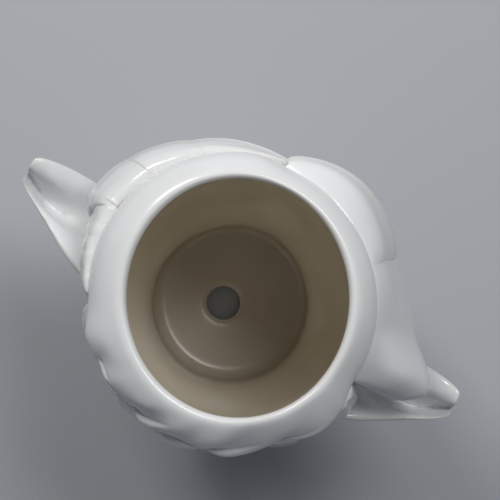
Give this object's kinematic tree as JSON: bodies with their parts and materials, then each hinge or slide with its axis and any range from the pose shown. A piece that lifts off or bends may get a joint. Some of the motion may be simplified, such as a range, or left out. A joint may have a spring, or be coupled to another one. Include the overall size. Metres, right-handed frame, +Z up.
{
  "type": "head planter",
  "caption": "Glazed ceramic plant pot in the form of a pixie's head, open at the crown, with pointed ears, swept hair and a drain hole.",
  "frame": {"origin": "on the pot's axis, in the plane of the table that the foot ring stands on", "axes": "+Z up out of the mouth, -Y the way the face looks, +X towards the head's own left ear"},
  "size_m": [0.1946, 0.1261, 0.165],
  "materials": {
    "white_glaze": "gloss"
  },
  "bodies": {
    "root": {"head_vessel": "white_glaze", "rolled_rim": "white_glaze", "ear_left": "white_glaze", "ear_right": "white_glaze", "fringe_sweep_right": "white_glaze", "flick_lock_right": "white_glaze", "fringe_sweep_left": "white_glaze", "fringe_lock_left": "white_glaze", "temple_lock_left": "white_glaze", "side_lock_left": "white_glaze", "side_lock_right": "white_glaze", "back_lock_1": "white_glaze", "back_lock_2": "white_glaze", "back_lock_3": "white_glaze", "back_lock_4": "white_glaze", "back_lock_5": "white_glaze", "nape_lock_1": "white_glaze", "nape_lock_2": "white_glaze", "nape_lock_3": "white_glaze", "nape_lock_4": "white_glaze"}
  },
  "joints": []
}
